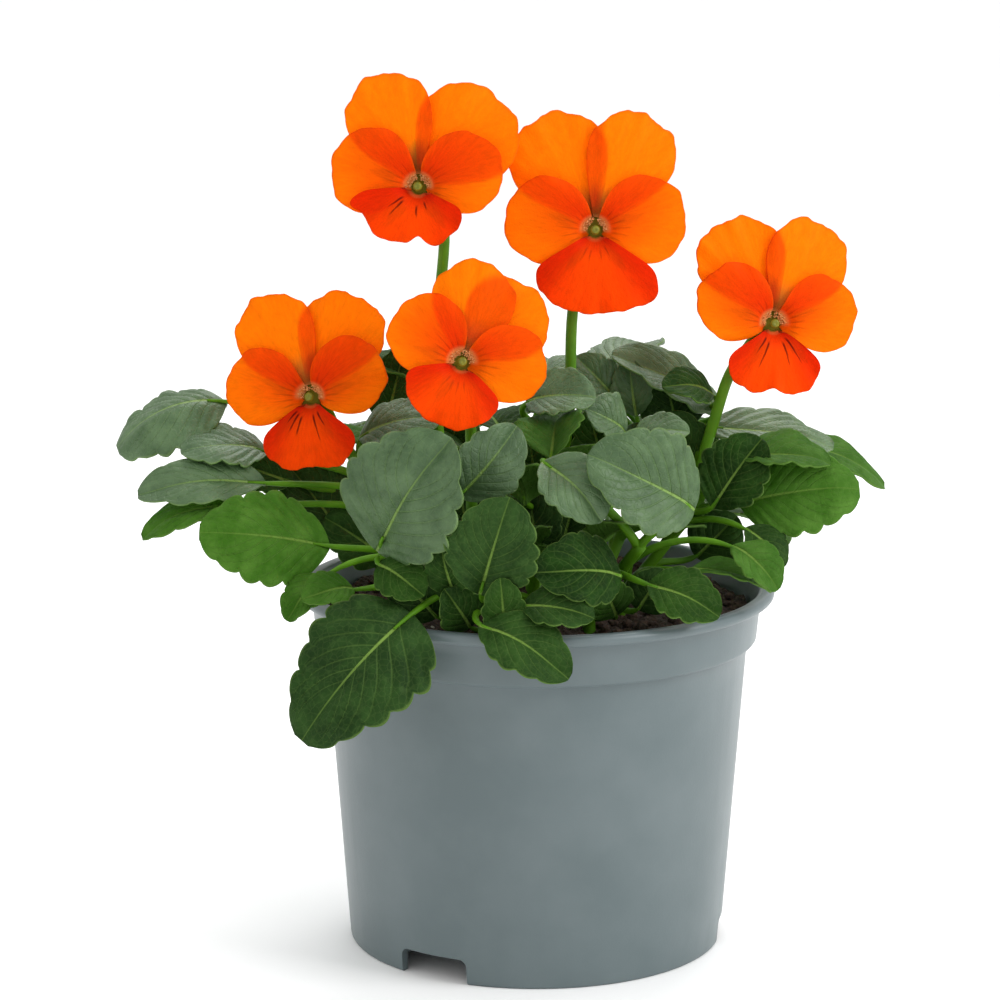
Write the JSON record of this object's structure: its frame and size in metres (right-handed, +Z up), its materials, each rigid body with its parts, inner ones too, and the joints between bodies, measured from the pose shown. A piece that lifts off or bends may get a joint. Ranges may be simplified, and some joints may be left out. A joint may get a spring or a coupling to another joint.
{
  "type": "potted pansy planter",
  "caption": "Orange pansy plant with scalloped leafy shoots and open blooms on upright stalks, rooted in soil in a tapered grey nursery pot with a rolled lip and drain notches.",
  "frame": {"origin": "on the surface that the pot stands on, under the middle of the whole plant's box", "axes": "+Z up along the pot's axis; -Y towards the side that the blooms face; +X to the right as seen from that side"},
  "size_m": [0.1924, 0.145, 0.2187],
  "materials": {
    "pot": "satin injection-moulded polypropylene, grey, faint smudges",
    "soil": null,
    "foliage": null,
    "petals": null,
    "stigma": null
  },
  "bodies": {
    "root": {"pot": "pot", "soil": "soil", "shoot_left": "foliage", "shoot_front_left": "foliage", "shoot_front": "foliage", "shoot_front_right": "foliage", "shoot_right": "foliage", "shoot_back_right": "foliage", "shoot_back": "foliage", "shoot_back_left": "foliage", "shoot_centre": "foliage", "petals_top_left": "petals", "stigma_top_left": "stigma", "petals_top_middle": "petals", "stigma_top_middle": "stigma", "petals_right": "petals", "stigma_right": "stigma", "petals_left": "petals", "stigma_left": "stigma", "petals_front": "petals", "stigma_front": "stigma"}
  },
  "joints": []
}
